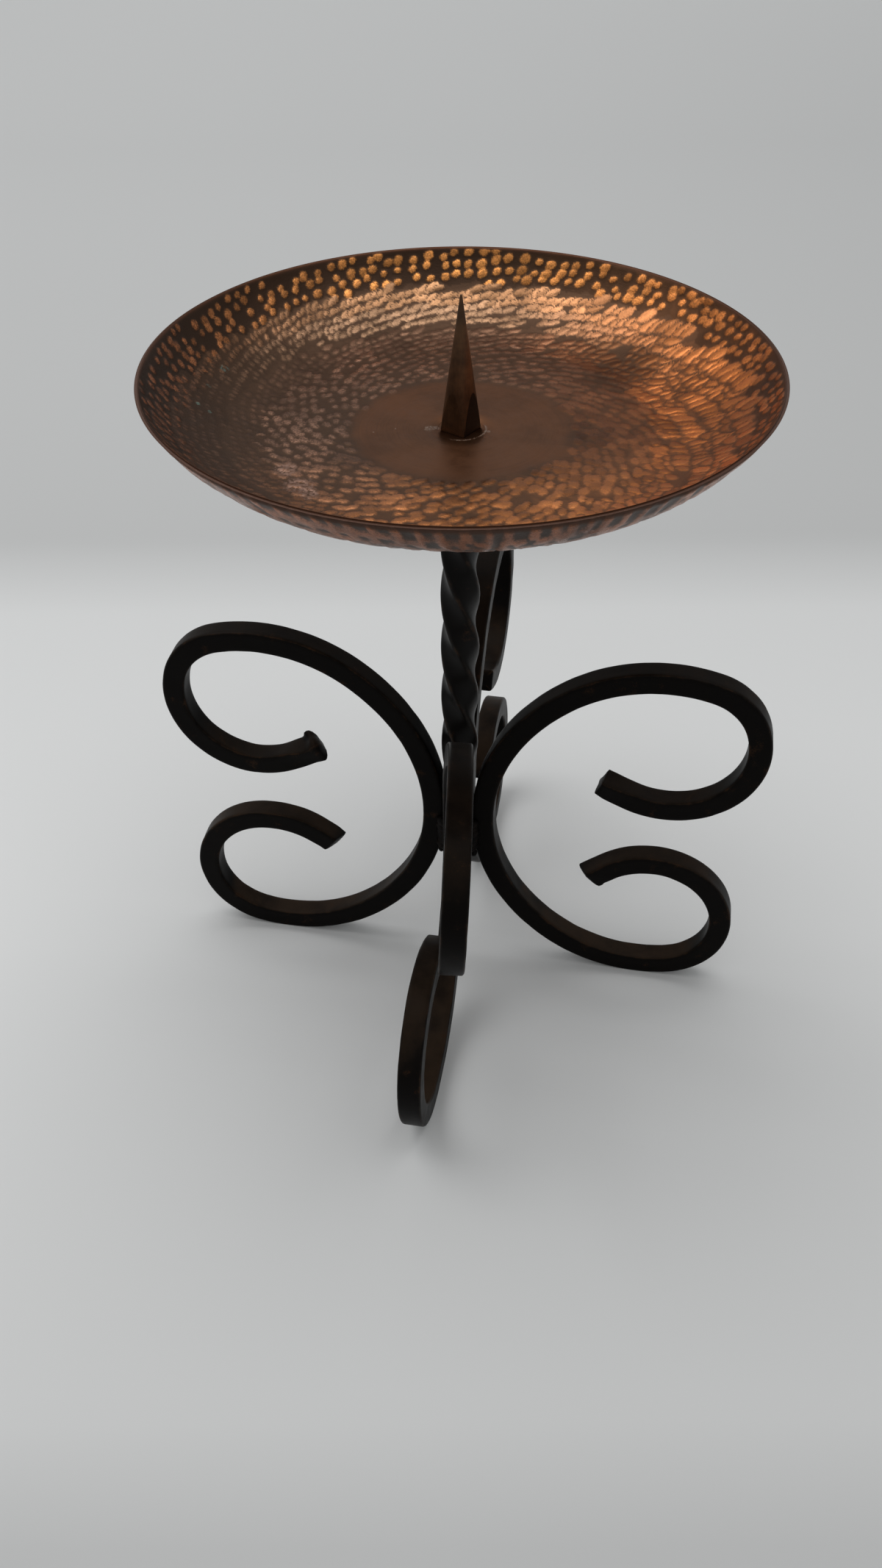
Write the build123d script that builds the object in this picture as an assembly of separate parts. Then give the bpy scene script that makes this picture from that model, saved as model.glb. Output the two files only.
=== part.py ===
from build123d import *
import math
import os

# Pricket candle stand: a hammered copper dish on a twisted iron stem with four C-scroll feet.
# Millimetres and degrees, +Z up, origin on the floor on the stem's axis, front along -Y.

# Heights above the floor
rim_height = 243.0
weld_height = 71.1
stem_bottom = 57.0
twist_bottom = 94.6
twist_top = 209.2

# Copper dish
dish_mouth = 183.3
dish_depth = 21.0
dish_flat_radius = 56.0
dish_sheet = 1.0
seat_radius = 6.8
seat_depth = 0.2

# Spike: a square bar turned to a cone, with a round tang below
spike_height = 40.0
spike_bar = 8.5
spike_foot_radius = 6.05
spike_tip_radius = 0.3
spike_turn = -26.0
tang_radius = 3.0
tang_depth = 14.0
tang_clearance = 0.05
tang_end_gap = 1.0

# Twisted stem of square bar, left-handed
stem_bar = 10.0
stem_corner = 1.6
stem_twist = -504.0

# C-scrolls of square bar: bend radius and bend angle, from the weld outwards; lower tips cut slanting
scroll_bar = 8.0
scroll_edge = 0.6
upper_bends = [(70.5, 55), (55.5, 50), (23, 55), (28.7, 112.5), (31, 20), (90, 8)]
lower_bends = [(70.5, 55), (53.5, 45), (24.5, 60), (27.2, 145), (90, 7.2)]
lower_slant = 16.0
front_twist = 8.5
twist_steps = 5
scroll_turns = {"right": 0, "back": 90, "left": 180, "front": 270}

# Weld metal in the corners between neighbouring scrolls
weld_bottom = 56.0
weld_top = 70.0
weld_reach = 9.0
weld_throat = 6.0
weld_turns = {"front_right": 270, "back_right": 0, "back_left": 90, "front_left": 180}

# Values that follow from the driving dimensions
rim_radius = dish_mouth / 2
dish_floor = rim_height - dish_depth
seat_floor = dish_floor - seat_depth
stem_top = dish_floor - dish_sheet
spike_length = spike_height + seat_depth
tang_length = seat_floor - stem_top + tang_depth
wall_sweep = 2 * math.degrees(math.atan2(dish_depth, rim_radius - dish_flat_radius))
wall_radius = dish_depth / (1 - math.cos(math.radians(wall_sweep)))
rim_round = dish_sheet / 2
rim_sweep = math.degrees(rim_round / wall_radius)
hole_radius = tang_radius + tang_clearance
scroll_centre = stem_bar / 2 + scroll_bar / 2
bar_axis = Axis((scroll_centre, 0, 0), (0, 0, 1))


def wall_arc(radius):
    """Arc of the dish wall about its own centre, from the flat floor up to the rounded rim."""
    centre = (dish_flat_radius, dish_floor + wall_radius)
    return CenterArc(centre, radius, -90, wall_sweep - rim_sweep)


def make_dish():
    """Spun sheet with a flat floor, a rounded wall and rim, and a seat and a hole for the spike."""
    inside = wall_arc(wall_radius)
    outside = wall_arc(wall_radius + dish_sheet)
    rim_edge = JernArc(inside @ 1, inside % 1, rim_round, -180)
    middle = Polyline(
        inside @ 0,
        (seat_radius, dish_floor),
        (seat_radius, seat_floor),
        (hole_radius, seat_floor),
        (hole_radius, stem_top),
        outside @ 0,
    )
    return revolve(Plane.XZ * make_face([inside, rim_edge, outside, middle]), Axis.Z)


def make_spike():
    """Cone cut from square bar, which leaves four arched flats at its foot."""
    on_foot = (Align.CENTER, Align.CENTER, Align.MIN)
    cone = Cone(spike_foot_radius, spike_tip_radius, spike_length, align=on_foot)
    bar = extrude(Rot(0, 0, spike_turn) * Rectangle(spike_bar, spike_bar), spike_length)
    tang = extrude(Circle(tang_radius), -tang_length)
    return Pos(0, 0, seat_floor) * ((cone & bar) + tang)


def make_stem():
    """Square bar twisted between its plain ends, drilled at the top for the tang."""
    section = RectangleRounded(stem_bar, stem_bar, stem_corner)
    foot = Pos(0, 0, stem_bottom) * extrude(section, twist_bottom - stem_bottom)
    twist_start = (Pos(0, 0, twist_bottom) * section).face()
    rise = (0, 0, twist_top - twist_bottom)
    middle = Solid.extrude_linear_with_rotation(twist_start, (0, 0, twist_bottom), rise, stem_twist)
    head = Pos(0, 0, twist_top) * Rot(0, 0, stem_twist) * extrude(section, stem_top - twist_top)
    drilled = Pos(0, 0, stem_top) * extrude(Circle(hole_radius), -(tang_depth + tang_end_gap))
    return foot + middle + head - drilled


def tip_cut(tip, tangent, inward, slant):
    """Wedge beyond a bar's slanted end, which leaves the outer corner of the tip whole."""
    corner = tip - inward * (scroll_bar / 2)
    across = inward * (2 * scroll_bar)
    beyond = tangent * scroll_bar
    set_back = tangent * (2 * scroll_bar * math.tan(math.radians(slant)))
    return make_face(Polyline(corner, corner + across - set_back, corner + across + beyond, close=True))


def bend_bar(start, tangent, bends, way, slant=0):
    """Square bar in the XZ plane, bent through tangent arcs; way is 1 for up, -1 for down."""
    path = Curve()
    for radius, angle in bends:
        bend = JernArc(start, tangent, radius, -way * angle)
        path += bend
        start = bend @ 1
        tangent = bend % 1
    outline = trace(path, scroll_bar)
    if slant:
        outline -= tip_cut(start, tangent, tangent.rotate(Axis.Z, -way * 90), slant)
    bar = extrude(Plane.XZ * outline, scroll_bar / 2, both=True)
    return fillet(bar.edges().filter_by(GeomType.CIRCLE), scroll_edge)


def twisted_bend(bend, twist):
    """Bend whose section turns about the bar's upright axis on its way round."""
    section = RectangleRounded(scroll_bar, scroll_bar, scroll_edge)
    sections = []
    for step in range(twist_steps + 1):
        share = step / twist_steps
        plane = Plane(bend @ share, x_dir=(0, 1, 0), z_dir=bend % share)
        sections.append((plane * section).rotate(bar_axis, twist * share))
    return loft(sections)


def make_scroll(twist):
    """C-scroll along +X: its upper arm is turned aside by the twist and its foot is ground flat."""
    weld = Vector(scroll_centre, weld_height)
    foot = bend_bar(weld, Vector(0, -1), lower_bends, -1, lower_slant)
    lower = split(foot, Plane.XY, keep=Keep.TOP)
    if not twist:
        return lower + bend_bar(weld, Vector(0, 1), upper_bends, 1)
    radius, angle = upper_bends[0]
    first = JernArc(weld, Vector(0, 1), radius, -angle)
    rest = bend_bar(first @ 1, first % 1, upper_bends[1:], 1)
    return lower + twisted_bend(Plane.XZ * first, twist) + rest.rotate(bar_axis, twist)


def make_weld():
    """Hollow fillet of weld metal beside the stem's corner, between the scrolls along +X and +Y."""
    side = scroll_bar / 2
    corner = (side, side)
    along_x = (weld_reach, side)
    along_y = (side, weld_reach)
    face = ThreePointArc(along_x, (weld_throat, weld_throat), along_y)
    section = make_face([Line(corner, along_x), face, Line(along_y, corner)])
    return Pos(0, 0, weld_bottom) * extrude(section, weld_top - weld_bottom)


def export(name, shape):
    """Write one node as a STEP file."""
    export_step(shape, os.path.join("parts", name + ".step"))


os.makedirs("parts", exist_ok=True)
stem = make_stem()
export("copper_dish", make_dish())
export("spike", make_spike())
export("twisted_stem", stem)
for side, turn in scroll_turns.items():
    twist = front_twist if side == "front" else 0
    scroll = Rot(0, 0, turn) * make_scroll(twist)
    export("scroll_" + side, scroll - stem)
for corner, turn in weld_turns.items():
    export("weld_" + corner, Rot(0, 0, turn) * make_weld() - stem)
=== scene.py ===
import bmesh
import bpy
import math
import random
from mathutils import Matrix, Vector, kdtree, noise


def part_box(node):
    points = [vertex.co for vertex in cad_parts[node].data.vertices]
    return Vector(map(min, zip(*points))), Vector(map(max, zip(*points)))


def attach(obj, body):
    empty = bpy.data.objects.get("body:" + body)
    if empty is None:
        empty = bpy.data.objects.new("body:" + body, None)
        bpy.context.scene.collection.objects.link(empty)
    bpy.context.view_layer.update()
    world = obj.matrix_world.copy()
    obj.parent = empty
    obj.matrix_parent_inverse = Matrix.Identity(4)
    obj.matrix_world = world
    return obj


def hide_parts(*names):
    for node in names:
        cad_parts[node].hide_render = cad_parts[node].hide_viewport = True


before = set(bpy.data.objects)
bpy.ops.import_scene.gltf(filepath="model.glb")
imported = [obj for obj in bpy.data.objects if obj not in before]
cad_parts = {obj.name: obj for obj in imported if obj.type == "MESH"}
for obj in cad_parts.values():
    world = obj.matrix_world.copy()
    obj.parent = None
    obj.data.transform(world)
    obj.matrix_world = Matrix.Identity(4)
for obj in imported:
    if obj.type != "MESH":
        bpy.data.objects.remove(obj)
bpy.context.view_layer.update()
mm = 0.001
upright = Vector((0, 0, 1))
print("frame loaded,", len(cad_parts), "nodes")


class Wire:  # a node's output; arithmetic on it adds Math nodes
    def __init__(self, finish, socket):
        self.finish = finish
        self.socket = socket

    def __add__(self, other):
        return self.finish.maths("ADD", self, other)

    def __sub__(self, other):
        return self.finish.maths("SUBTRACT", self, other)

    def __rsub__(self, other):
        return self.finish.maths("SUBTRACT", other, self)

    def __mul__(self, other):
        return self.finish.maths("MULTIPLY", self, other)

    __radd__ = __add__
    __rmul__ = __mul__


class Finish:  # a material, its shader and the nodes that feed it
    def __init__(self, name, shaderValues):
        self.material = bpy.data.materials.new(name)
        self.material.use_nodes = True
        self.tree = self.material.node_tree
        self.tree.nodes.clear()
        self.shader = self.tree.nodes.new("ShaderNodeBsdfPrincipled")
        output = self.tree.nodes.new("ShaderNodeOutputMaterial")
        self.tree.links.new(self.shader.outputs[0], output.inputs[0])
        self.feed(self.shader, shaderValues)
        self.place = self.node("ShaderNodeTexCoord", output="Object")

    def feed(self, made, sockets):
        for name, value in sockets.items():
            if isinstance(value, Wire):
                self.tree.links.new(value.socket, made.inputs[name])
            else:
                made.inputs[name].default_value = value

    def node(self, kind, settings=None, sockets=None, output=0):
        made = self.tree.nodes.new(kind)
        for name, value in (settings or {}).items():
            if name == "stops":
                self.setStops(made.color_ramp.elements, value)
            else:
                setattr(made, name, value)
        self.feed(made, sockets or {})
        return Wire(self, made.outputs[output])

    def setStops(self, stops, values):  # places and colours of a ramp
        for spare in list(stops)[1:]:
            stops.remove(spare)
        stops[0].position, stops[0].color = values[0]
        for position, tone in values[1:]:
            stops.new(position).color = tone

    def maths(self, operation, *parts):
        return self.node("ShaderNodeMath", {"operation": operation}, dict(enumerate(parts)))

    def vector(self, operation, *parts):
        return self.node("ShaderNodeVectorMath", {"operation": operation}, dict(enumerate(parts)))

    def measure(self, operation, *parts):  # vector maths whose answer is a number
        return self.node("ShaderNodeVectorMath", {"operation": operation}, dict(enumerate(parts)), "Value")

    def stored(self, name, output="Fac"):  # a value kept on the mesh's own points
        return self.node("ShaderNodeAttribute", {"attribute_name": name}, output=output)

    def grain(self, size, detail=3.0, stretch=None):  # noise with features of about that size
        where = self.vector("MULTIPLY", self.place, stretch) if stretch else self.place
        values = {"Vector": where, "Scale": 1 / size, "Detail": detail, "Roughness": 0.6}
        return self.node("ShaderNodeTexNoise", {}, values)

    def fade(self, value, low, high):  # 0 at low, 1 at high, smooth between
        ends = {"Value": value, "From Min": low, "From Max": high}
        return self.node("ShaderNodeMapRange", {"interpolation_type": "SMOOTHSTEP"}, ends)

    def blend(self, share, first, second):  # of two colours
        return self.node("ShaderNodeMix", {"data_type": "RGBA"}, {0: share, 6: first, 7: second}, 2)

    def flat(self):  # place seen from above
        return self.vector("MULTIPLY", self.place, (1, 1, 0))

    def radius(self):  # distance from the stand's upright axis
        return self.measure("LENGTH", self.flat())

    def bump(self, height, depth):
        return self.node("ShaderNodeBump", {}, {"Height": height, "Distance": depth})


def colour(red, green, blue):
    return (red, green, blue, 1.0)


def finishPiece(name, bm, look, node):
    mesh = bpy.data.meshes.new(name)
    bm.to_mesh(mesh)
    bm.free()
    mesh.materials.append(look)
    mesh.shade_smooth()
    piece = bpy.data.objects.new(name, mesh)
    bpy.context.scene.collection.objects.link(piece)
    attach(piece, "root")
    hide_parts(node)
    print(name, "made,", len(mesh.polygons), "faces")
    return piece


def easeStep(value, low, high):
    share = min(1.0, max(0.0, (value - low) / (high - low)))
    return share * share * (3 - 2 * share)


def level(turn):  # level direction at that angle
    return Vector((math.cos(turn), math.sin(turn), 0))


# camera where the photographer stood
camera = {
    "eye": (62.9, -371.0, 409.5),  # mm
    "heading": 10.65, "down": 40.95, "roll": 0.5,  # degrees
    "focal": 1875, "picture": (1200, 2133),  # pixels
    "sensor": 36, "clip": (0.01, 50),
}


def placeCamera():
    data = bpy.data.cameras.new("camera")
    data.sensor_width = camera["sensor"]
    data.lens = data.sensor_width * camera["focal"] / camera["picture"][1]
    data.clip_start, data.clip_end = camera["clip"]
    eye = bpy.data.objects.new("camera", data)
    turn = Matrix.Rotation(math.radians(camera["heading"]), 4, "Z")
    tilt = Matrix.Rotation(math.radians(90 - camera["down"]), 4, "X")
    roll = Matrix.Rotation(math.radians(-camera["roll"]), 4, "Z")
    eye.matrix_world = Matrix.Translation(Vector(camera["eye"]) * mm) @ turn @ tilt @ roll
    bpy.context.scene.collection.objects.link(eye)
    bpy.context.scene.camera = eye
    print("camera set")


# hammered copper dish
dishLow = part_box("copper_dish")[0]
dish = {
    "sheet": 1.0 * mm, "flatRadius": 56.0 * mm, "mouthRadius": 91.65 * mm, "depth": 21.0 * mm,
    "seatRadius": 6.8 * mm, "seatDepth": 0.2 * mm, "holeRadius": 3.05 * mm, "rimEdge": 0.9 * mm,
    # smooth middle, where the candle stands, and its uneven border
    "plainRadius": 29.0 * mm, "plainFade": 5 * mm, "plainUneven": 1.5 * mm, "plainUnevenSize": 6 * mm,
    "waveHeight": 0.16 * mm, "waveSize": 13 * mm,
    # mesh steps along the section, then around
    "middleSteps": 5, "floorSteps": 34, "wallSteps": 38, "rimSteps": 4,
    "underSteps": 13, "underFloorSteps": 7, "sectors": 16, "sectorSteps": 27,
    "merge": 0.005 * mm, "slack": 0.01 * mm,
}
dish["floor"] = dishLow.z + dish["sheet"]
dish["sweep"] = 2 * math.atan2(dish["depth"], dish["mouthRadius"] - dish["flatRadius"])
dish["wall"] = dish["depth"] / (1 - math.cos(dish["sweep"]))
dish["length"] = dish["flatRadius"] + dish["wall"] * dish["sweep"]

copper = {
    "patina": colour(0.043, 0.025, 0.0165), "slate": colour(0.083, 0.047, 0.029),
    "middle": colour(0.155, 0.067, 0.032), "edge": colour(0.10, 0.046, 0.028),
    "umber": colour(0.31, 0.112, 0.043), "brown": colour(0.38, 0.196, 0.124),
    "bark": colour(0.215, 0.112, 0.070), "pink": colour(0.42, 0.232, 0.156),
    "tan": colour(0.56, 0.207, 0.068), "red": colour(0.68, 0.210, 0.055),
    "dim": colour(0.15, 0.078, 0.048), "russet": colour(0.38, 0.137, 0.060),
    # pale: the back wall's paler metal, partly its own tone and partly a painted sheen of the overhead
    # lamp
    "gold": colour(0.86, 0.345, 0.095), "pale": colour(0.39, 0.226, 0.130),
    "verdigris": colour(0.045, 0.115, 0.092), "wax": colour(0.26, 0.24, 0.21),
    "paleReflection": colour(0.34, 0.20, 0.15), "verdigrisShare": 0.7, "waxShare": 0.4,
    # sizes of the grain, then the shader's own values
    "fine": 0.4 * mm, "speck": 1.1 * mm, "patch": 5 * mm, "cloud": 28 * mm, "brushed": 0.6 * mm,
    "shine": 0.4, "roughness": 0.46, "bump": 0.07 * mm, "outerMetallic": 0.35,
    # marks left by use, and a painted reflection on the front-left floor: distance along the sheet in mm,
    # turn in degrees, radius in mm
    "verdigrisSpots": [(78.9, 169, 1.7), (78.9, 178, 1.0), (78.8, 187, 1.0), (74.9, 188, 0.8)],
    "waxSpots": [(9.1, 190, 2.2), (7.2, 186, 1.3), (8.2, -5, 1.2), (25.8, 195, 0.4), (19.3, 190, 0.35)],
    "reflectionSpots": [(55.5, 217, 4.2), (56.6, 227, 5.0), (57.2, 233, 3.6)], "spotCore": 0.55,
    "waxRing": 7.5 * mm, "waxRingWidth": 0.45 * mm, "waxRingSide": (0.77, -0.64, 0.0),
    # brighter and duller areas: distance along the sheet in mm, turn in degrees, radius in mm, gain
    "tones": [(64, 47, 19, -0.7), (50, -48, 14, 0.42), (38, 225, 11, -0.3), (37, 0, 12, -0.3),
              (54, 137, 16, 0.45), (60, 182, 8, 0.6), (77, 90, 16, -0.12), (57, 4, 14, -0.2)],
    "toneCore": 0.3,
}

# how the hammer marks were struck
hammer = {
    "seed": 11, "nearest": 9,  # marks looked at around a point
    "sideTurn": math.radians(12), "shadedSide": Vector((-0.75, -0.66, 0)),  # the side of each mark that is painted with shade, towards the lower left
    "sway": 1.3 * mm, "swaySize": 16 * mm, "leanJitter": 12,  # degrees
    "sizes": (0.75, 1.2), "shades": (0.6, 1.12), "heights": (0.65, 1.1), "steps": (0.8, 1.2),
    "shadeNoise": 0.4, "shadeSize": 9 * mm, "bandMix": 0.2, "inmostReach": 13, "rub": 0.7,
    "ragged": 0.3 * mm, "raggedSize": 1.7 * mm, "groove": 0.4,
    "dotPower": 1.5, "shadePower": 4, "dotRise": (-0.1, 1.0), "scaleRise": (-0.3, 1.2),
    "ridge": (0.15, 0.95), "ridgeField": 0.75,
}

# bands of marks by distance from the middle along the sheet, sizes in mm;
# arms: how many rows a row climbs in one turn, dot: round marks that run together, not scales,
# dull: how dark the ground is between them, missing: the share of marks left out;
# a list gives the right, back, left and front side:
# lean: degrees from the rim's direction, sparse: share left out of every other row,
# worn: how far the marks are rubbed away, late: how much further out they start,
# grit: how pitted their metal is, fill: how much of their metal is in the ground,
# paintedShade: painted shade on one side of a mark, which also lowers its relief there,
# ribbon: how far the marks of a row run together, inmost: how bright the band's innermost marks are
evenBand = {
    "dot": False, "missing": 0.0, "sparse": [0] * 4, "worn": [0] * 4, "late": [0] * 4,
    "fill": [0] * 4, "paintedShade": [0] * 4, "ribbon": [0] * 4, "inmost": [1] * 4,
}
insideBands = [
    {**evenBand, "from": 32, "to": 60, "gap": 3.7, "arms": 46, "height": 0.5, "scatter": 0.7,
     "dot": True, "dull": 0.15, "missing": 0.04, "pitch": [4.2, 4.2, 4.3, 4.2],
     "long": [3.1, 2.6, 2.6, 3.3], "wide": [1.9, 1.4, 1.5, 1.75], "lean": [30, 22, 28, 34],
     "worn": [0.35, 0.4, 0.35, 0.05], "grit": [0.4, 0.9, 1.0, 0.35], "fill": [0.28, 0.05, 0.02, 0.12],
     "paintedShade": [0.4, 0.25, 0.1, 0.6], "inmost": [0.65, 1.0, 0.75, 0.4],
     "metal": ["umber", "brown", "pink", "tan"]},
    {**evenBand, "from": 58.5, "to": 68.5, "gap": 2.6, "arms": 40, "height": 0.4, "scatter": 0.45,
     "dull": 0.15, "pitch": [3.0, 3.4, 3.2, 3.2],
     "long": [4.2, 2.9, 1.7, 3.4], "wide": [2.2, 1.25, 0.9, 2.0], "lean": [60, 26, 30, 50],
     "sparse": [0.7, 0, 0, 0.5], "worn": [0, 0.1, 0.6, 0], "grit": [0.35, 0.5, 0.9, 0.35],
     "fill": [0.2, 0.05, 0.05, 0.15], "paintedShade": [0.5, 0.3, 0, 0.5], "ribbon": [0.2, 0.5, 0, 0.2],
     "metal": ["red", "bark", "dim", "tan"]},
    {**evenBand, "from": 70.2, "to": 86.0, "gap": 3.2, "arms": 28, "height": 0.36, "scatter": 0.45,
     "dull": 0.4, "pitch": [2.9, 2.6, 1.9, 3.0],
     "long": [4.5, 2.8, 1.2, 3.6], "wide": [2.4, 1.3, 0.85, 2.2], "lean": [70, 24, 75, 60],
     "sparse": [0.8, 0, 0.2, 0.5], "worn": [0, 0, 0.7, 0], "grit": [0.3, 0.4, 0.9, 0.35],
     "fill": [0.15, 0.0, 0.05, 0.15], "paintedShade": [0.5, 0.4, 0, 0.5], "ribbon": [0.2, 0.6, 0, 0.2],
     # the back's pale metal is partly a painted sheen of the overhead lamp
     "metal": ["red", "pale", "dim", "tan"]},
    {**evenBand, "from": 80.0, "to": 97.4, "gap": 3.2, "arms": 14, "height": 0.28, "scatter": 0.75,
     "dot": True, "dull": 0.85, "missing": 0.05, "pitch": [4.3, 4.7, 4.7, 4.4],
     "long": [2.4, 2.2, 2.1, 2.2], "wide": [1.6, 1.6, 1.5, 1.6], "lean": [45, 40, 50, 40],
     "worn": [0.05, 0, 0.1, 0.1], "late": [8.0, 7.4, 1.5, 8], "grit": [0.55, 0.6, 0.9, 0.55],
     "fill": [0.1, 0.0, 0.0, 0.05], "paintedShade": [0.3, 0.15, 0.1, 0.3],
     "metal": ["red", "gold", "russet", "tan"]},
]
# dents left on the outside, between upright ridges
outsideBands = [
    {**evenBand, "from": 20, "to": 58, "gap": 6.5, "arms": 9, "height": 0.22, "scatter": 1.0,
     "dull": 0.8, "pitch": [7.0] * 4, "long": [4.0] * 4, "wide": [3.5] * 4, "lean": [40] * 4,
     "grit": [0.4] * 4, "metal": ["dim"] * 4},
    {**evenBand, "from": 62, "to": 99, "gap": 7.0, "arms": 3, "height": 0.42, "scatter": 1.3,
     "dull": 0.9, "pitch": [5.4] * 4, "long": [4.6] * 4, "wide": [3.0] * 4, "lean": [80] * 4,
     "grit": [0.5] * 4, "metal": ["russet"] * 4},
]


def sheetPoint(along, turn):  # point, outward, around and up off the inner face of the sheet
    angle = max(0.0, along - dish["flatRadius"]) / dish["wall"]
    radius = min(along, dish["flatRadius"]) + dish["wall"] * math.sin(angle)
    height = dish["floor"] + dish["wall"] * (1 - math.cos(angle))
    away = level(turn)
    outward = away * math.cos(angle) + upright * math.sin(angle)
    off = upright * math.cos(angle) - away * math.sin(angle)
    return away * radius + upright * height, outward, Vector((-away.y, away.x, 0)), off


def sheetPlace(spot):  # distance along the sheet, and whether the spot is on the inner face
    out = math.hypot(spot.x, spot.y) - dish["flatRadius"]
    below = dish["floor"] + dish["wall"] - spot.z
    if out <= 0:
        return out + dish["flatRadius"], spot.z > dish["floor"] - dish["sheet"] / 2
    along = dish["flatRadius"] + dish["wall"] * math.atan2(out, below)
    return along, math.hypot(out, below) < dish["wall"] + dish["sheet"] / 2


def sideShares(turn):  # how far the right, back, left and front are faced, 1 in all
    across, ahead = math.cos(turn - hammer["sideTurn"]), math.sin(turn - hammer["sideTurn"])
    return [max(0.0, part) ** 2 for part in (across, ahead, -across, -ahead)]


def bySide(values, turn):
    return sum(value * share for value, share in zip(values, sideShares(turn)))


def sideMetal(metals, turn):
    mixed = Vector((0, 0, 0, 0))
    for metal, share in zip(metals, sideShares(turn)):
        mixed += Vector(copper[metal]) * share
    return mixed


def bandAt(band, turn):  # the band's settings there, with its lists mixed by side
    here = dict(band)
    for name, value in band.items():
        if name == "metal":
            here[name] = sideMetal(value, turn)
        elif isinstance(value, list):
            here[name] = bySide(value, turn)
    return here


def toneAt(spot):  # how bright the metal is there
    gain = 1.0
    for along, turn, radius, share in copper["tones"]:
        gap = (spot - sheetPoint(along * mm, math.radians(turn))[0]).length
        gain += share * (1 - easeStep(gap, copper["toneCore"] * radius * mm, radius * mm))
    return gain


def layStrike(here, after, along, turn, radius, draw):  # one mark; after is the next band outwards
    jitter = here["scatter"] * mm
    sway = hammer["sway"] * noise.noise(sheetPoint(along, turn)[0] / hammer["swaySize"])
    place = along + sway + draw.uniform(-jitter, jitter)
    spot, outward, around, off = sheetPoint(place, turn + draw.uniform(-jitter, jitter) / radius)
    leanJitter = draw.uniform(-hammer["leanJitter"], hammer["leanJitter"])
    lean = math.radians(here["lean"] + leanJitter)
    ahead = outward * math.sin(lean) - around * math.cos(lean)
    aside = off.cross(ahead)
    size = draw.uniform(*hammer["sizes"])
    shade = draw.uniform(*hammer["shades"])
    shade *= 1 + hammer["shadeNoise"] * noise.noise(spot / hammer["shadeSize"])
    shade *= toneAt(spot)
    inmost = here["inmost"]
    fromInmost = easeStep(place / mm, here["from"], here["from"] + hammer["inmostReach"])
    shade *= inmost + (1 - inmost) * fromInmost
    outer = easeStep(place / mm, 0.5 * (here["from"] + here["to"]), after["from"])
    metal = here["metal"].lerp(sideMetal(after["metal"], turn), hammer["bandMix"] * outer)
    return {
        "spot": spot, "ahead": ahead, "aside": aside, "dot": here["dot"], "ribbon": here["ribbon"],
        # painted shade of the mark, along and across it
        "shadeAhead": here["paintedShade"] * ahead.dot(hammer["shadedSide"]),
        "shadeAside": here["paintedShade"] * aside.dot(hammer["shadedSide"]),
        "long": here["long"] * mm * size, "wide": here["wide"] * mm * size,
        "height": here["height"] * mm * draw.uniform(*hammer["heights"]) * (1 - here["worn"]),
        "field": 1 - hammer["rub"] * here["worn"], "metal": metal * shade,
        "dull": here["dull"], "grit": here["grit"], "fill": here["fill"],
    }


def layStrikes(bands):  # rows that wind outwards clockwise; later marks lie over earlier ones
    draw = random.Random(hammer["seed"])
    strikes = []
    for band, after in zip(bands, bands[1:] + bands[-1:]):
        rise = band["arms"] * band["gap"]
        rowCount = math.ceil((band["to"] - band["from"] + rise) / band["gap"])
        for row in range(rowCount):
            start = band["from"] - rise + row * band["gap"]
            progress = max(0.0, (band["from"] - start) / rise)
            end = min(1.0, (band["to"] - start) / rise)
            while progress < end:
                turn = -math.tau * progress
                along = (start + rise * progress) * mm
                radius = sheetPoint(along, 0)[0].x
                here = bandAt(band, turn)
                strike = layStrike(here, after, along, turn, radius, draw)
                leftOut = here["missing"] + (here["sparse"] if row % 2 else 0.0)
                if draw.random() >= leftOut and along > (here["from"] + here["late"]) * mm:
                    strikes.append(strike)
                climb = math.hypot(math.tau * radius, rise * mm)
                progress += here["pitch"] * mm * draw.uniform(*hammer["steps"]) / climb
    print(len(strikes), "hammer marks laid")
    tree = kdtree.KDTree(len(strikes))
    for index, strike in enumerate(strikes):
        tree.insert(strike["spot"], index)
    tree.balance()
    return strikes, tree


def strikeReach(spot, strikes, tree):  # how far along and across the nearest marks, 1 at a border
    spot = spot + noise.noise_vector(spot / hammer["raggedSize"]) * hammer["ragged"]
    for found in tree.find_n(spot, hammer["nearest"]):
        place, index = found[:2]
        strike = strikes[index]
        offset = spot - place
        ahead = offset.dot(strike["ahead"]) / strike["long"]
        aside = offset.dot(strike["aside"]) / strike["wide"]
        yield ahead, aside, index


# height of the mark at a spot, a field that falls to 0 at the mark's border, and the strike
def insideMark(spot, strikes, tree):
    swell = 0.0
    dome = 0.0
    shade = 0.0
    nearest = None
    scales = []
    for ahead, aside, index in strikeReach(spot, strikes, tree):
        strike = strikes[index]
        nearest = index if nearest is None else nearest
        inside = 1 - ahead * ahead - aside * aside
        # painted shade darkens the lower-left side of each mark and lowers its relief there
        paintedShade = ahead * strike["shadeAhead"] + aside * strike["shadeAside"]
        if not strike["dot"]:
            if inside > -hammer["groove"]:
                scales.append((index, inside, paintedShade, strike["ribbon"] * min(1.0, ahead * ahead)))
        elif inside > 0:
            swell += inside ** hammer["dotPower"]
            if inside > dome:
                dome = inside
                shade = paintedShade * math.sqrt(inside)
    scale = 0.0
    last = -1
    for index, inside, paintedShade, ends in sorted(scales):  # from the lowest mark to the topmost
        if inside > 0:
            last = index
            scale = max(inside ** (hammer["shadePower"] ** paintedShade), ends)
        else:
            scale *= 1 - (1 - ends) * easeStep(inside, -hammer["groove"], 0.0)
    strike = strikes[last if last >= 0 else nearest]
    if swell > scale:
        rise, field = easeStep(dome - shade, *hammer["dotRise"]), swell - shade
    else:
        rise, field = easeStep(scale, *hammer["scaleRise"]), scale
    return strike["height"] * rise, field * strike["field"], strike


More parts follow.
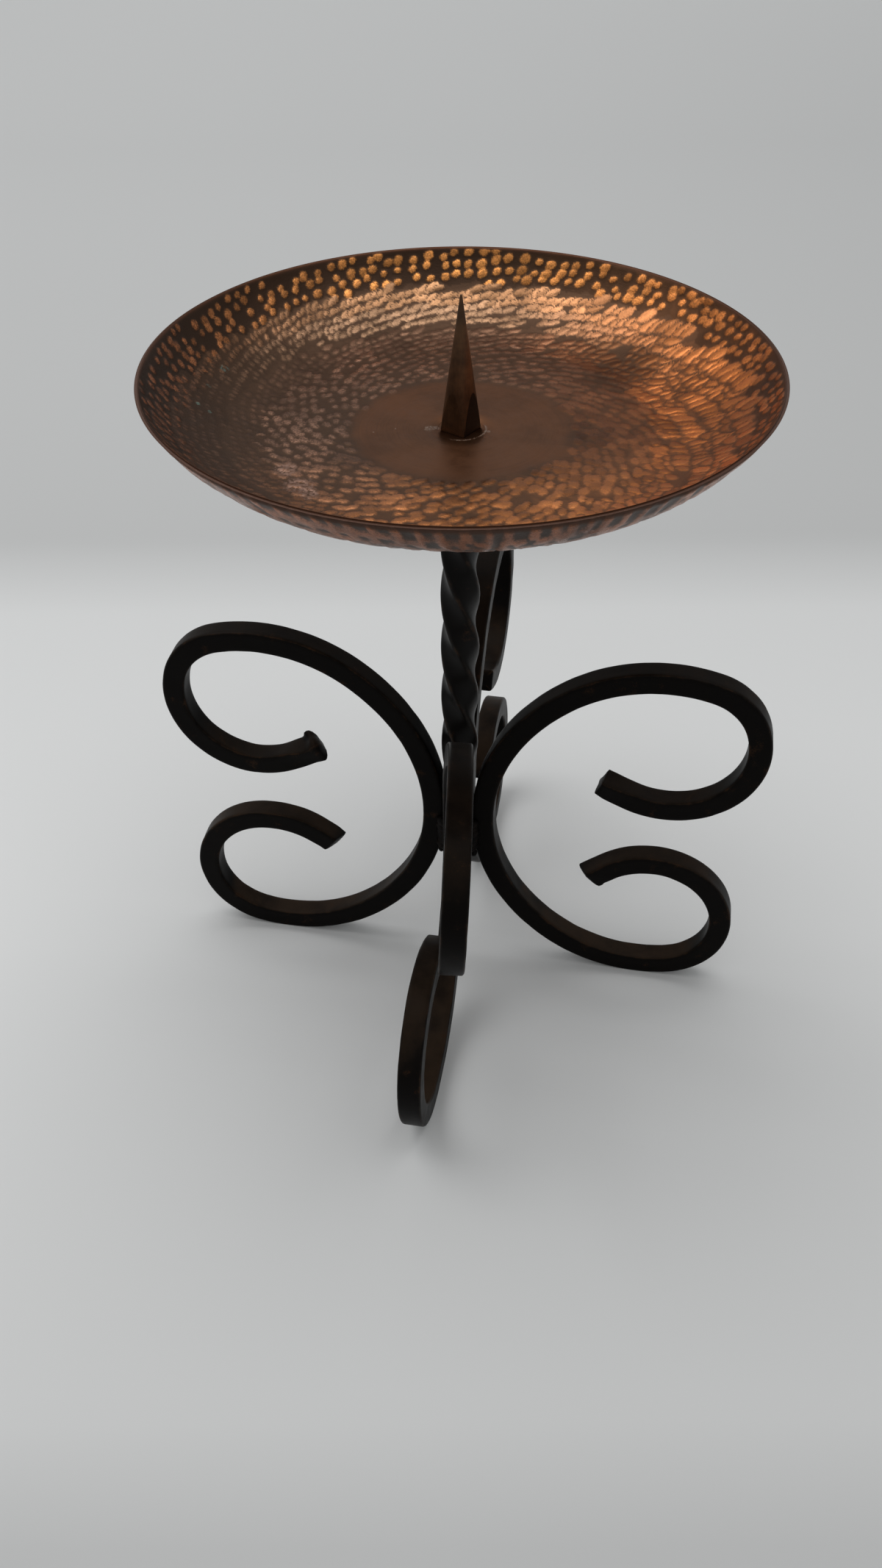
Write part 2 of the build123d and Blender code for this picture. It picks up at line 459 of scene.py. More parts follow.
def outsideMark(spot, strikes, tree):  # a dent is a negative height, and the ridges are its field
    reach = sorted((math.hypot(ahead, aside), index)
                   for ahead, aside, index in strikeReach(spot, strikes, tree))
    near, second = reach[0][0], reach[1][0]
    strike = strikes[reach[0][1]]
    ridge = 1 - easeStep(second - near, *hammer["ridge"])
    return -strike["height"] * (1 - ridge), hammer["ridgeField"] * ridge, strike


def dishProfile(bm):  # half section of the sheet, drawn as one line in the XZ plane
    def onward(made):
        return next(part for part in made["geom_last"] if isinstance(part, bmesh.types.BMVert))

    def straight(pen, radius, height, steps):
        step = (Vector((radius, 0, height)) - pen.co) / steps
        return onward(bmesh.ops.spin(bm, geom=[pen], dvec=step, axis=upright, angle=0, steps=steps))

    def swing(pen, centre, angle, steps):
        made = bmesh.ops.spin(bm, geom=[pen], cent=centre, axis=(0, 1, 0), angle=angle, steps=steps)
        return onward(made)

    floor = dish["floor"]
    under = floor - dish["sheet"]
    seat = floor - dish["seatDepth"]
    hub = Vector((dish["flatRadius"], 0, floor + dish["wall"]))
    rimRound = dish["sheet"] / 2
    sweep = dish["sweep"] - rimRound / dish["wall"]
    pen = bm.verts.new((dish["holeRadius"], 0, seat))
    pen = straight(pen, dish["seatRadius"], seat, 1)
    pen = straight(pen, dish["seatRadius"] + dish["seatDepth"], floor, 2)
    pen = straight(pen, dish["plainRadius"], floor, dish["middleSteps"])
    pen = straight(pen, dish["flatRadius"], floor, dish["floorSteps"])
    pen = swing(pen, hub, -sweep, dish["wallSteps"])
    spoke = (hub - pen.co).normalized()
    pen = swing(pen, pen.co - spoke * rimRound, -math.pi, dish["rimSteps"])
    pen = swing(pen, hub, sweep, dish["underSteps"])
    pen = straight(pen, dish["holeRadius"], under, dish["underFloorSteps"])
    straight(pen, dish["holeRadius"], seat, 1)
    bmesh.ops.remove_doubles(bm, verts=bm.verts, dist=dish["merge"])


def onInnerWall(vert):
    along, inner = sheetPlace(vert.co)
    low = dish["flatRadius"] - dish["slack"]
    high = dish["length"] - dish["sheet"] / 2 + dish["slack"]
    return inner and low < along < high


def hammerDish(bm):  # moves each point and keeps what the copper's look needs there
    names = ("crest", "dull", "grit", "fill", "plain", "inner", "edge")
    layers = {name: bm.verts.layers.float.new(name) for name in names}
    layers["metal"] = bm.verts.layers.float_color.new("metal")
    noise.seed_set(hammer["seed"])  # noise_vector starts from the clock without it
    inside = layStrikes(insideBands)
    outside = layStrikes(outsideBands)
    rim = (dish["length"] - 2 * dish["rimEdge"], dish["length"] - dish["rimEdge"])
    border = (dish["plainRadius"], dish["plainRadius"] + dish["plainFade"])
    for vert in bm.verts:
        along, inner = sheetPlace(vert.co)
        sheet = sheetPoint(along, math.atan2(vert.co.y, vert.co.x))
        spot, off = sheet[0], sheet[3]
        rise, crest, strike = insideMark(spot, *inside) if inner else outsideMark(spot, *outside)
        edgeFade = 1 - easeStep(along, *rim)
        uneven = dish["plainUneven"] * noise.noise(spot / dish["plainUnevenSize"])
        plain = 1 - easeStep(along + uneven, *border)
        wave = dish["waveHeight"] * noise.noise(spot / dish["waveSize"])
        lift = (rise if inner else -rise) + wave
        vert.co += off * lift * edgeFade * (1 - plain)
        values = {
            "crest": crest * edgeFade, "edge": 1 - edgeFade, "plain": plain, "inner": float(inner),
            "dull": strike["dull"], "grit": strike["grit"], "fill": strike["fill"],
            "metal": strike["metal"],
        }
        for name, layer in layers.items():
            vert[layer] = values[name]


def makeDish(look):
    bm = bmesh.new()
    dishProfile(bm)
    sector = math.tau / dish["sectors"]
    bmesh.ops.spin(bm, geom=bm.verts[:] + bm.edges[:], cent=(0, 0, 0), axis=upright,
                   angle=sector, steps=dish["sectorSteps"])
    fine = [edge for edge in bm.edges if all(onInnerWall(vert) for vert in edge.verts)]
    bmesh.ops.subdivide_edges(bm, edges=fine, cuts=1, use_grid_fill=True)
    bmesh.ops.spin(bm, geom=bm.verts[:] + bm.edges[:] + bm.faces[:], cent=(0, 0, 0), axis=upright,
                   angle=math.tau - sector, steps=dish["sectors"] - 1, use_duplicate=True)
    bmesh.ops.remove_doubles(bm, verts=bm.verts, dist=dish["merge"])
    bmesh.ops.recalc_face_normals(bm, faces=bm.faces)
    hammerDish(bm)
    finishPiece("dish", bm, look, "copper_dish")


def patches(look, spots, ragged):  # round marks at places on the sheet, with ragged borders
    def patch(along, turn, radius):
        centre = sheetPoint(along * mm, math.radians(turn))[0]
        gap = look.measure("DISTANCE", look.place, centre) + ragged * (radius * mm)
        return 1 - look.fade(gap, copper["spotCore"] * radius * mm, radius * mm)

    return look.maths("MINIMUM", sum(patch(*spot) for spot in spots), 1.0)


def copperLook():
    look = Finish("hammeredCopper", {"Specular IOR Level": copper["shine"]})
    fine = look.grain(copper["fine"])
    speck = look.grain(copper["speck"])
    patch = look.grain(copper["patch"])
    cloud = look.grain(copper["cloud"])
    crest = look.stored("crest")
    plain = look.stored("plain")
    inner = look.stored("inner")
    metal = look.stored("metal", "Color")
    # bright marks, pitted and with grainy borders, on darkened ground
    grainy = (fine - 0.5) + 0.8 * (speck - 0.5)
    pores = look.fade(fine + 0.6 * (speck - 0.5), 0.6, 0.38)
    bright = crest + 0.5 * grainy * look.fade(crest, 0.0, 0.3) + 0.2 * (patch - 0.5)
    bright = look.fade(bright, 0.03, 0.6) * (1 - 0.8 * look.stored("grit") * pores)
    dark = look.fade(look.stored("dull") + 0.8 * (cloud - 0.5), 0.0, 1.0)
    ground = look.blend(dark, copper["slate"], copper["patina"])
    ground = look.blend(look.stored("fill"), ground, metal)
    base = look.blend(bright * (0.95 + 0.5 * (cloud - 0.5)), ground, metal)
    # smooth middle, brushed round and round, and the bare edge of the rim
    away = look.vector("NORMALIZE", look.flat())
    ring = look.node("ShaderNodeCombineXYZ", {}, {"Z": look.radius() * (1 / copper["brushed"])})
    brushed = {"Vector": look.vector("ADD", away, ring), "Scale": 1.0, "Detail": 3.0}
    lines = look.node("ShaderNodeTexNoise", {}, brushed)
    stain = look.fade(0.4 * lines + 1.2 * (cloud - 0.5) + 0.5 * (patch - 0.5), 0.0, 0.6)
    middle = look.blend(0.5 * stain, copper["middle"], copper["patina"])
    base = look.blend(plain, base, middle)
    base = look.blend(look.stored("edge"), base, copper["edge"])
    # marks left by use, and a pale painted reflection on the front-left floor
    ragged = 1.2 * (fine - 0.5) + 0.8 * (patch - 0.5)
    # painted reflection: pale pink patches where something bright is mirrored in the front-left floor
    paleReflection = patches(look, copper["reflectionSpots"], ragged) * inner * look.fade(speck, 0.38, 0.6)
    green = patches(look, copper["verdigrisSpots"], ragged) * inner * look.fade(speck, 0.4, 0.6)
    ringGap = look.maths("ABSOLUTE", look.radius() - copper["waxRing"]) + 0.4 * mm * (speck - 0.5)
    ringWax = 1 - look.fade(ringGap, 0.4 * copper["waxRingWidth"], copper["waxRingWidth"])
    ringSide = look.measure("DOT_PRODUCT", away, copper["waxRingSide"])
    ringWax = ringWax * look.fade(ringSide + 0.8 * (speck - 0.5), 0.2, 0.6)
    wax = (patches(look, copper["waxSpots"], ragged) + ringWax) * inner
    wax = wax * look.fade(fine + 0.8 * (speck - 0.5), 0.35, 0.7)
    base = look.blend(paleReflection, base, copper["paleReflection"])
    base = look.blend(green * copper["verdigrisShare"], base, copper["verdigris"])
    base = look.blend(wax * copper["waxShare"], base, copper["wax"])
    bare = 1 - look.fade(green + wax, 0.1, 0.6)
    rough = (fine + 0.6 * speck) * (1 - 0.8 * plain) + 0.25 * lines * plain
    look.feed(look.shader, {
        "Base Color": base,
        "Metallic": bare * (copper["outerMetallic"] + (1 - copper["outerMetallic"]) * inner),
        "Roughness": copper["roughness"] - 0.16 * bright - 0.04 * plain + 0.25 * (patch - 0.5),
        "Normal": look.bump(rough, copper["bump"]),
    })
    return look.material


# blackened iron of the stem and the scrolls
iron = {
    "black": colour(0.0036, 0.0028, 0.0024), "brown": colour(0.026, 0.016, 0.0098),
    "worn": colour(0.034, 0.024, 0.017), "rust": colour(0.028, 0.013, 0.0062), "wornShare": 0.35,
    "fine": 0.5 * mm, "patch": 6 * mm, "cloud": 25 * mm,  # sizes of the grain
    "stemShine": 0.09, "scrollShine": 0.045, "roughness": 0.42, "bump": 0.05 * mm,
    "dishShadeLow": 20 * mm, "dishShadeHigh": 125 * mm, "shadedTopShare": 0.4,  # painted shade: the brown on upward faces fades upwards, under the dish
    "upward": (0.1, 0.8),  # how far up a face points where dust and painted light from above begin, and where they are full
}


def ironLook(name, shine):
    look = Finish(name, {"Specular IOR Level": shine})
    fine = look.grain(iron["fine"], 4)
    patch = look.grain(iron["patch"])
    cloud = look.grain(iron["cloud"])
    edges = look.stored("wear")
    wear = edges * look.fade(patch, 0.3, 0.65)
    height = look.node("ShaderNodeSeparateXYZ", {}, {0: look.place}, "Z")
    # brown on upward faces: partly dust, partly painted light from above; it fades upwards as painted
    # shade of the dish
    low = 1 - look.fade(height, iron["dishShadeLow"], iron["dishShadeHigh"])
    dustAndTopLight = look.fade(look.stored("upward") + 1.3 * (cloud - 0.5) + 0.7 * (patch - 0.5), 0.45, 1.3)
    dustAndTopLight = dustAndTopLight * (iron["shadedTopShare"] + (1 - iron["shadedTopShare"]) * low)
    rusty = look.fade(patch + 0.5 * (fine - 0.5) + 0.2 * edges, 0.62, 0.85)
    base = look.blend(dustAndTopLight, iron["black"], iron["brown"])
    base = look.blend(rusty, base, iron["rust"])
    base = look.blend(iron["wornShare"] * wear, base, iron["worn"])
    look.feed(look.shader, {
        "Base Color": base,
        "Roughness": iron["roughness"] + 0.25 * (patch - 0.5) - 0.08 * wear,
        "Normal": look.bump(0.5 * fine + patch, iron["bump"]),
    })
    return look.material


def barLoop(bm, bar):  # rounded square of edges, flat in XY
    square = bmesh.ops.create_grid(bm, x_segments=1, y_segments=1, size=bar["bar"] / 2)
    bmesh.ops.bevel(bm, geom=square["verts"], offset=bar["corner"], offset_type="OFFSET",
                    affect="VERTICES", segments=bar["cornerSteps"], profile=0.5, material=-1)
    bmesh.ops.delete(bm, geom=bm.faces[:], context="FACES_ONLY")
    sides = [edge for edge in bm.edges if edge.calc_length() > bar["bar"] / 2]
    bmesh.ops.subdivide_edges(bm, edges=sides, cuts=bar["sideCuts"])
    return bm.edges[:]


def lastRing(made):
    return [part for part in made["geom_last"] if isinstance(part, bmesh.types.BMEdge)]


def finishBar(name, bm, look, node):  # keeps how far each point faces up, where dust and painted light from above lie
    bmesh.ops.recalc_face_normals(bm, faces=bm.faces)
    upwardLayer = bm.verts.layers.float.new("upward")
    bm.normal_update()
    for vert in bm.verts:
        vert[upwardLayer] = easeStep(vert.normal.z, *iron["upward"])
    finishPiece(name, bm, look, node)


# square bar bent into the C-scrolls
scroll = {
    "bar": 8.0 * mm, "corner": 0.9 * mm, "cornerSteps": 4, "sideCuts": 5,
    "ringGap": 1.6 * mm, "leastSteps": 4, "middle": 9.0 * mm, "weldHeight": 71.1 * mm,
    "turns": {"right": 0, "back": 90, "left": 180, "front": 270},
    # bends from the weld outwards: radius in mm and degrees
    "upper": [(70.5, 55), (55.5, 50), (23, 55), (28.7, 112.5), (31, 20), (90, 8)],
    "lower": [(70.5, 55), (53.5, 45), (24.5, 60), (27.2, 145), (90, 7.2)],
    # how far the front scroll's arms turn and lean aside, in degrees
    "frontTwist": {"upper": 8.5, "lower": 0.0}, "frontLean": {"upper": 2.3, "lower": -1.0},
    # dents from forging, small pits, and edges worn bare
    "seed": 10, "dent": 0.16 * mm, "dentSize": 7 * mm, "pit": 0.35, "pitSize": 2.2 * mm,
    "skin": 0.03 * mm, "wear": (0.8, 0.97),
    # how far back from a free end its turn, cut, lip, taper and bend reach
    "turnReach": 16 * mm, "cutReach": 9 * mm, "lipReach": (0.6 * mm, 4.0 * mm),
    "taperReach": 3.4 * mm, "bendReach": 30 * mm, "uneven": 0.8, "unevenSize": 3 * mm,
    "innerEdge": (0.6, 1.0), "outerEdge": (0.5, 1.0),
    "endSteps": [(0.95, 0.35), (0.84, 0.35), (0.66, 0.3)],  # size, and share of the bulge
}
scroll["start"] = Vector((scroll["middle"], 0, scroll["weldHeight"]))
# free ends as they were cut: slant across the scroll, cross slant and turn of the bar in degrees,
# then in mm how much shorter the end is, how far it bulges, the burr on its inner edge,
# the spur and the taper of its outer edge, and how far the end is bent inwards
upperEnd = {"slant": 0, "cross": 0, "turn": 0, "short": 0.0,
            "bulge": 0.7, "burr": 0.4, "spur": 0.2, "taper": 0.2, "lift": 0.0}
lowerEnd = {"slant": 16, "cross": 0, "turn": 0, "short": 0.0,
            "bulge": 0.3, "burr": 0.0, "spur": 0.0, "taper": 0.8, "lift": 0.0}
scrollEnds = {
    "right": {"upper": {**upperEnd, "slant": -9, "cross": 8, "turn": -14, "short": 0.9,
                        "bulge": 0.5, "burr": -0.4, "spur": 0.4, "taper": 0.4, "lift": -0.4},
              "lower": {**lowerEnd, "slant": -2, "cross": -27, "turn": 8.5, "short": 1.8,
                        "bulge": 1.2, "burr": 0.5, "taper": 0.0, "lift": 0.5}},
    "back": {"upper": upperEnd, "lower": lowerEnd},
    "left": {"upper": {**upperEnd, "slant": -15, "cross": -25, "turn": 22, "short": 2.0,
                       "bulge": 2.3, "burr": 1.6, "taper": -0.5, "lift": 1.4},
             "lower": {**lowerEnd, "slant": -6, "cross": 25, "turn": -1, "short": 2.3,
                       "bulge": 0.8, "taper": 0.35, "lift": -1.4}},
    "front": {"upper": {**upperEnd, "bulge": 0.3}, "lower": {**lowerEnd, "taper": 0.5, "lift": -2.6}},
}


def bendArm(bm, ring, bends, way):  # spins the ring through each bend and keeps every ring it leaves
    centre = scroll["start"]
    turned = 0.0
    along = 0.0
    rings = []
    for radius, angle in bends:
        steps = max(scroll["leastSteps"], round(radius * mm * math.radians(angle) / scroll["ringGap"]))
        step = math.radians(angle) / steps
        inward = Vector((math.cos(turned), 0, -way * math.sin(turned)))
        hub = centre + inward * radius * mm
        for index in range(steps):
            made = bmesh.ops.spin(bm, geom=ring, cent=hub, axis=(0, 1, 0), angle=way * step, steps=1)
            ring = lastRing(made)
            turned += step
            along += radius * mm * step
            inward = Vector((math.cos(turned), 0, -way * math.sin(turned)))
            ahead = Vector((math.sin(turned), 0, way * math.cos(turned)))
            rings.append({"verts": list({vert for edge in ring for vert in edge.verts}), "along": along,
                          "inward": inward, "ahead": ahead, "centre": hub - inward * radius * mm})
        centre = rings[-1]["centre"]
    cap = bmesh.ops.contextual_create(bm, geom=ring)["faces"]
    return rings, cap


def nearEnd(left, reach):  # 1 at the end of a bar, 0 further back than the reach
    return 1 - easeStep(left, 0, reach)


def forgeArm(rings, ends, seed, wearLayer):  # dents, rough end and worn edges
    half = scroll["bar"] / 2
    full = rings[-1]["along"]
    slant = math.tan(math.radians(ends["slant"]))
    cross = math.tan(math.radians(ends["cross"]))
    for ring in rings:
        left = full - ring["along"]
        inward, ahead = ring["inward"], ring["ahead"]
        turned = math.radians(ends["turn"]) * nearEnd(left, scroll["turnReach"])
        turn = Matrix.Rotation(turned, 3, inward.cross(Vector((0, 1, 0))))
        lip = 1 - easeStep(left, *scroll["lipReach"])
        taper = nearEnd(left, scroll["taperReach"])
        for vert in ring["verts"]:
            offset = vert.co - ring["centre"]
            deep = offset.dot(inward) / half
            wide = offset.y / half
            innerEdge = easeStep(deep, *scroll["innerEdge"])
            outerEdge = easeStep(-deep, *scroll["outerEdge"])
            dent = noise.noise(vert.co / scroll["dentSize"] + Vector((seed, 0, 0)))
            pit = noise.noise(vert.co / scroll["pitSize"] + Vector((0, seed, 0)))
            uneven = noise.noise(vert.co / scroll["unevenSize"] + Vector((seed, seed, 0)))
            uneven = 1 + scroll["uneven"] * uneven
            sink = scroll["dent"] * (max(0.0, dent) + scroll["pit"] * max(0.0, pit)) + scroll["skin"]
            cutBack = (slant * (deep + 1) + cross * wide) * half + ends["short"] * mm
            vert.co = ring["centre"] + turn @ (offset - offset.normalized() * sink)
            vert.co -= ahead * cutBack * nearEnd(left, scroll["cutReach"])
            vert.co += inward * ends["burr"] * mm * lip * uneven * innerEdge
            vert.co += ahead * ends["spur"] * mm * lip * uneven * outerEdge
            vert.co += inward * ends["taper"] * mm * taper * outerEdge
            vert.co += inward * ends["lift"] * mm * nearEnd(left, scroll["bendReach"])
            vert[wearLayer] = easeStep(min(abs(deep), abs(wide)), *scroll["wear"])


def roundEnd(bm, cap, bulge):  # eases the edge of a cut end and swells its face
    for size, share in scroll["endSteps"]:
        cap = bmesh.ops.extrude_discrete_faces(bm, faces=cap)["faces"]
        middle = Matrix.Translation(-cap[0].calc_center_median())
        bmesh.ops.scale(bm, verts=cap[0].verts, vec=(size, size, size), space=middle)
        bmesh.ops.translate(bm, verts=cap[0].verts, vec=cap[0].normal * (share * bulge) * mm)


def twistArm(rings, twist, lean):  # turns and leans the arm aside over its first bend
    radius, angle = scroll["upper"][0]
    bendLength = radius * mm * math.radians(angle)
    for ring in rings:
        share = min(1.0, ring["along"] / bendLength)
        turn = Matrix.Rotation(math.radians(twist) * share, 3, "Z")
        turn = turn @ Matrix.Rotation(math.radians(-lean) * share, 3, "X")
        for vert in ring["verts"]:
            vert.co = turn @ (vert.co - scroll["start"]) + scroll["start"]


def makeScroll(side, look):
    bm = bmesh.new()
    wearLayer = bm.verts.layers.float.new("wear")
    start = barLoop(bm, scroll)
    bmesh.ops.translate(bm, verts=bm.verts, vec=scroll["start"])
    seed = scroll["seed"] + scroll["turns"][side]
    caps = {}
    for name, way in (("upper", 1), ("lower", -1)):
        rings, caps[name] = bendArm(bm, start, scroll[name], way)
        forgeArm(rings, scrollEnds[side][name], seed, wearLayer)
        if side == "front":
            twistArm(rings, scroll["frontTwist"][name], scroll["frontLean"][name])
    bmesh.ops.recalc_face_normals(bm, faces=bm.faces)
    for name, cap in caps.items():
        roundEnd(bm, cap, scrollEnds[side][name]["bulge"])
    for vert in bm.verts:  # foot ground flat on the floor
        vert.co.z = max(vert.co.z, 0.0)
    turn = Matrix.Rotation(math.radians(scroll["turns"][side]), 3, "Z")
    bmesh.ops.rotate(bm, verts=bm.verts, cent=(0, 0, 0), matrix=turn)
    finishBar("scroll." + side, bm, look, "scroll_" + side)


# twisted stem
stemLow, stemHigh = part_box("twisted_stem")
stem = {
    "bar": 10.0 * mm, "corner": 1.6 * mm, "cornerSteps": 4, "sideCuts": 5, "wear": (0.7, 0.9),
    "twistBottom": 94.6 * mm, "twistTop": 209.2 * mm, "twist": -504.0,
    "footSteps": 12, "twistSteps": 170, "headSteps": 6,
}


def makeStem(look):
    bm = bmesh.new()
    wearLayer = bm.verts.layers.float.new("wear")
    ring = barLoop(bm, stem)
    half = stem["bar"] / 2
    for vert in bm.verts:
        vert[wearLayer] = easeStep(min(abs(vert.co.x), abs(vert.co.y)) / half, *stem["wear"])
    bmesh.ops.translate(bm, verts=bm.verts, vec=(0, 0, stemLow.z))
    bmesh.ops.contextual_create(bm, geom=ring)
    runs = [
        (stem["twistBottom"] - stemLow.z, 0.0, stem["footSteps"]),
        (stem["twistTop"] - stem["twistBottom"], stem["twist"], stem["twistSteps"]),
        (stemHigh.z - stem["twistTop"], 0.0, stem["headSteps"]),
    ]
    for rise, twist, steps in runs:
        made = bmesh.ops.spin(bm, geom=ring, cent=(0, 0, 0), axis=upright, dvec=(0, 0, rise / steps),
                              angle=math.radians(twist), steps=steps)
        ring = lastRing(made)
    bmesh.ops.contextual_create(bm, geom=ring)
    finishBar("stem", bm, look, "twisted_stem")


# spike: square bar drawn out to a point
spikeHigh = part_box("spike")[1]
spike = {
    "bar": 8.5 * mm, "footRadius": 6.05 * mm, "tipRadius": 0.3 * mm, "turn": -26.0, "segments": 96,
    "sharpAngle": 8, "edge": 0.12 * mm, "edgeSteps": 2, "shadeAngle": 35,  # degrees
    "flatArea": 4 * mm * mm, "flatFacing": 0.99,
    "brown": colour(0.055, 0.031, 0.017), "bronze": colour(0.12, 0.062, 0.029),
    "dark": colour(0.008, 0.006, 0.005), "shadedFlatShare": 0.85,  # painted shade on the flat that faces right
    "fine": 0.4 * mm, "patch": 5 * mm, "lines": 0.7 * mm, "lineStretch": (1, 1, 0.08),
    "metallic": 0.75, "roughness": 0.42, "bump": 0.04 * mm,
}


def makeSpike(look):
    foot = dish["floor"] - dish["seatDepth"]
    height = spikeHigh.z - foot
    bm = bmesh.new()
    bmesh.ops.create_cone(bm, cap_ends=True, segments=spike["segments"], radius1=spike["footRadius"],
                          radius2=spike["tipRadius"], depth=height)
    bmesh.ops.translate(bm, verts=bm.verts, vec=(0, 0, foot + height / 2))
    flats = [level(math.radians(spike["turn"] + 90 * quarter)) for quarter in range(4)]
    for flat in flats:
        whole = bm.verts[:] + bm.edges[:] + bm.faces[:]
        cut = bmesh.ops.bisect_plane(bm, geom=whole, plane_co=flat * spike["bar"] / 2, plane_no=flat,
                                     clear_outer=True)
        edges = [part for part in cut["geom_cut"] if isinstance(part, bmesh.types.BMEdge)]
        bmesh.ops.holes_fill(bm, edges=edges, sides=0)
    sharp = [edge for edge in bm.edges if len(edge.link_faces) == 2
             and edge.calc_face_angle() > math.radians(spike["sharpAngle"])]
    bmesh.ops.bevel(bm, geom=sharp, offset=spike["edge"], affect="EDGES", segments=spike["edgeSteps"],
                    profile=0.5, material=-1)
    bmesh.ops.recalc_face_normals(bm, faces=bm.faces)
    # marks the flat that faces right, which gets painted shade
    flatLayer = bm.verts.layers.float.new("flat")
    for face in bm.faces:
        facing = face.normal.dot(flats[0])
        if facing > spike["flatFacing"] and face.calc_area() > spike["flatArea"]:
            for vert in face.verts:
                vert[flatLayer] = 1.0
    piece = finishPiece("spike", bm, look, "spike")
    piece.data.set_sharp_from_angle(angle=math.radians(spike["shadeAngle"]))


def spikeLook():
    look = Finish("bronzedSpike", {"Metallic": spike["metallic"]})
    patch = look.grain(spike["patch"])
    fine = look.grain(spike["fine"], 4)
    lines = look.grain(spike["lines"], 3, spike["lineStretch"])
    streaks = look.fade(patch + 0.3 * (lines - 0.5), 0.25, 0.8)
    base = look.blend(streaks, spike["brown"], spike["bronze"])
    # painted shade on the flat that faces right
    base = look.blend(spike["shadedFlatShare"] * look.stored("flat"), base, spike["dark"])
    look.feed(look.shader, {
        "Base Color": base,
        "Roughness": spike["roughness"] + 0.2 * (patch - 0.5),
        "Normal": look.bump(lines + 0.5 * fine, spike["bump"]),
    })
    return look.material


# weld beads in the corners between neighbouring scrolls
weld = {
    "turns": {"front_right": 270, "back_right": 0, "back_left": 90, "front_left": 180},
    "bottom": 57.6 * mm, "top": 68.8 * mm, "beads": 6, "out": 5.35 * mm, "outJitter": 0.3,
    "depth": 1.9 * mm, "reach": 3.3 * mm, "rise": 1.9 * mm, "sizes": (0.85, 1.12), "beadTurn": 45,
    "drops": {"front_left": (5.9, 5.2, 55.2, 1.25), "front_right": (5.1, 6.2, 54.6, 1.35)},  # mm
    "dropStretch": 1.4, "subdivisions": 3, "voxel": 0.3 * mm, "softenSteps": 3, "seed": 5,
    "black": colour(0.0018, 0.0016, 0.0015), "brown": colour(0.008, 0.0052, 0.0038),
    "fine": 0.4 * mm, "patch": 2.5 * mm, "shine": 0.05, "roughness": 0.45, "bump": 0.12 * mm,
}


def makeWeld(corner, look):
    draw = random.Random(weld["seed"] + weld["turns"][corner])
    bm = bmesh.new()
    sizes = (weld["depth"], weld["reach"], weld["rise"])
    beadTurn = Matrix.Rotation(math.radians(weld["beadTurn"]), 3, "Z")
    for index in range(weld["beads"]):
        share = index / (weld["beads"] - 1)
        height = weld["bottom"] + share * (weld["top"] - weld["bottom"])
        bead = bmesh.ops.create_icosphere(bm, subdivisions=weld["subdivisions"], radius=1.0)["verts"]
        bmesh.ops.scale(bm, verts=bead, vec=[size * draw.uniform(*weld["sizes"]) for size in sizes])
        bmesh.ops.rotate(bm, verts=bead, cent=(0, 0, 0), matrix=beadTurn)
        out = weld["out"] + draw.uniform(-weld["outJitter"], weld["outJitter"]) * mm
        bmesh.ops.translate(bm, verts=bead, vec=(out, out, height))
    if corner in weld["drops"]:
        x, y, z, radius = (part * mm for part in weld["drops"][corner])
        drop = bmesh.ops.create_icosphere(bm, subdivisions=weld["subdivisions"], radius=radius)["verts"]
        bmesh.ops.scale(bm, verts=drop, vec=(1, 1, weld["dropStretch"]))
        bmesh.ops.translate(bm, verts=drop, vec=(x, y, z))
    turn = Matrix.Rotation(math.radians(weld["turns"][corner]), 3, "Z")
    bmesh.ops.rotate(bm, verts=bm.verts, cent=(0, 0, 0), matrix=turn)
    piece = finishPiece("weld." + corner, bm, look, "weld_" + corner)
    skin = piece.modifiers.new("skin", "REMESH")
    skin.mode = "VOXEL"
    skin.voxel_size = weld["voxel"]
    skin.use_smooth_shade = True
    soften = piece.modifiers.new("soften", "SMOOTH")
    soften.iterations = weld["softenSteps"]


def weldLook():
    look = Finish("weldMetal", {"Specular IOR Level": weld["shine"]})
    patch = look.grain(weld["patch"])
    fine = look.grain(weld["fine"], 4)
    look.feed(look.shader, {
        "Base Color": look.blend(look.fade(patch, 0.35, 0.7), weld["black"], weld["brown"]),
        "Roughness": weld["roughness"] + 0.3 * (patch - 0.5),
        "Normal": look.bump(fine + patch, weld["bump"]),
    })
    return look.material


# pale floor, brighter in the middle distance: distance from the stand in m, and tone
stage = {
    "size": 12.0, "shine": 0.1, "roughness": 0.6, "tint": (0.975, 0.985, 0.985),
    "tones": [(-0.45, 0.50), (-0.23, 0.55), (-0.19, 0.68), (0.0, 0.78), (0.09, 0.745),
              (0.235, 0.70), (0.31, 0.53), (0.67, 0.575), (1.04, 0.64), (1.75, 0.86)],
}


